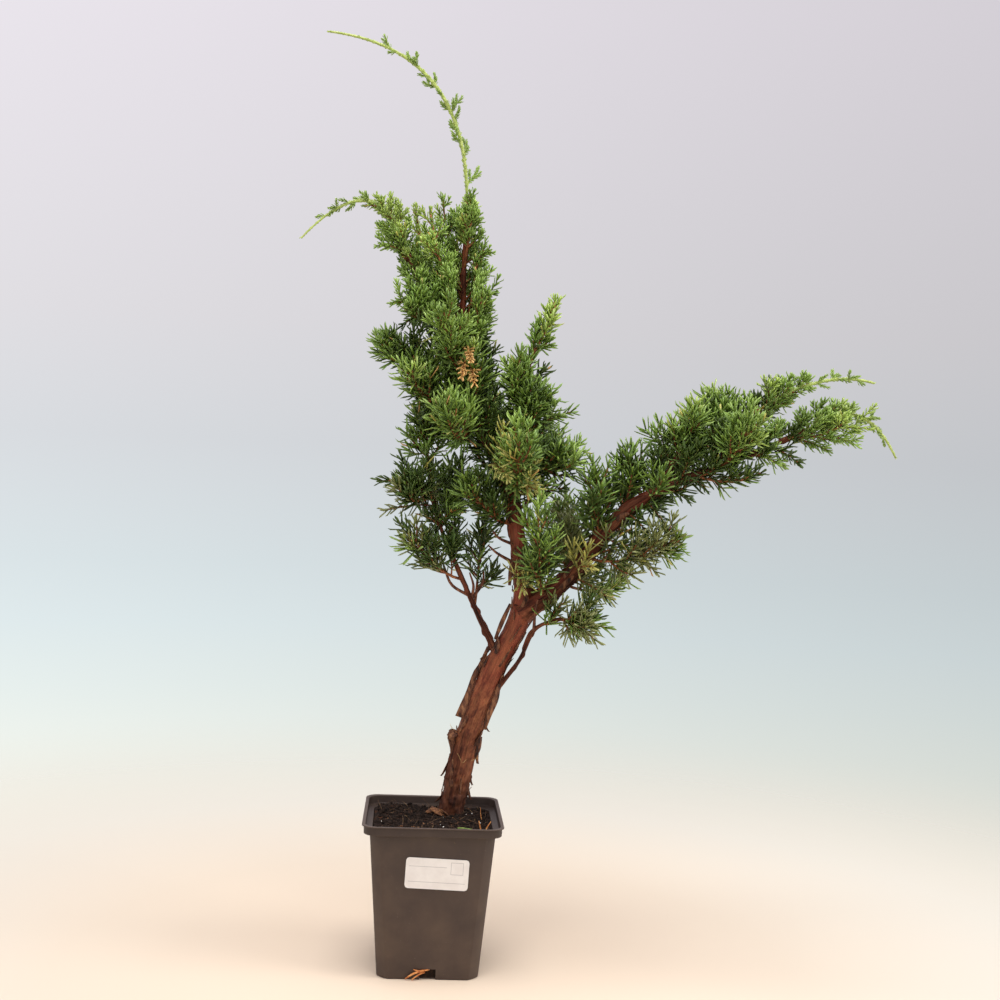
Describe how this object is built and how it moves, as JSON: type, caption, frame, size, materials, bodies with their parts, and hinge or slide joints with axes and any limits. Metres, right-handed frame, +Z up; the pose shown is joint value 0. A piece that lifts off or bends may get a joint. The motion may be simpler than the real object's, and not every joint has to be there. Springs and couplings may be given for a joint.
{
  "type": "kishu juniper bonsai in a square nursery pot",
  "caption": "Young kishu juniper grown as a leaning bonsai: a forked trunk, a long right bough, bottlebrush sprays of needles and whip-like tips, in a square plastic nursery pot.",
  "frame": {"origin": "middle of the underside of the pot", "axes": "+Z up; -Y is the labelled front of the pot, the side in the picture; +X is to the right seen from the front, the way the long bough reaches"},
  "size_m": [0.3904, 0.1294, 0.6042],
  "materials": {
    "pot": "satin",
    "soil": "matte",
    "label": "matte",
    "bark": "matte",
    "foliage": "matte",
    "fresh_foliage": "matte"
  },
  "bodies": {
    "root": {"pot": "pot", "soil": "soil", "label": "label", "trunk": "bark", "right_bough": "bark", "upper_right_branch": "bark", "lower_left_branch": "bark", "lower_right_twig": "bark", "middle_left_branch": "bark", "top_left_branch": "bark", "centre_branch": "bark", "bough_middle_back": "foliage", "bough_middle_top": "foliage", "bough_start_back": "foliage", "bough_start_top": "foliage", "centre_back": "foliage", "centre_front": "foliage", "centre_peak": "foliage", "centre_right": "foliage", "centre_right_low": "foliage", "centre_spray": "foliage", "crown_back": "foliage", "crown_front": "foliage", "crown_left_front": "foliage", "crown_left_low": "foliage", "crown_left_shoot": "foliage", "crown_left_tall": "foliage", "crown_right": "foliage", "crown_right_low": "foliage", "crown_top_left": "foliage", "crown_top_right": "foliage", "fork_front": "foliage", "inner_front": "foliage", "inner_left": "foliage", "leader_whip": "fresh_foliage", "left_whip": "fresh_foliage", "lower_left_back": "foliage", "lower_left_bottom": "foliage", "lower_left_outer": "foliage", "lower_left_tip": "foliage", "lower_right_tip": "foliage", "lower_right_whip": "fresh_foliage", "middle_back": "foliage", "middle_front": "foliage", "middle_left_back": "foliage", "middle_left_low": "foliage", "middle_left_tip": "foliage", "middle_right": "foliage", "right_back_top": "foliage", "right_below": "foliage", "right_front": "foliage", "right_front_top": "foliage", "right_lower_tip": "foliage", "right_upper_tip": "foliage", "under_bough": "foliage", "under_bough_low": "foliage", "upper_right_whip": "fresh_foliage"}
  },
  "joints": []
}
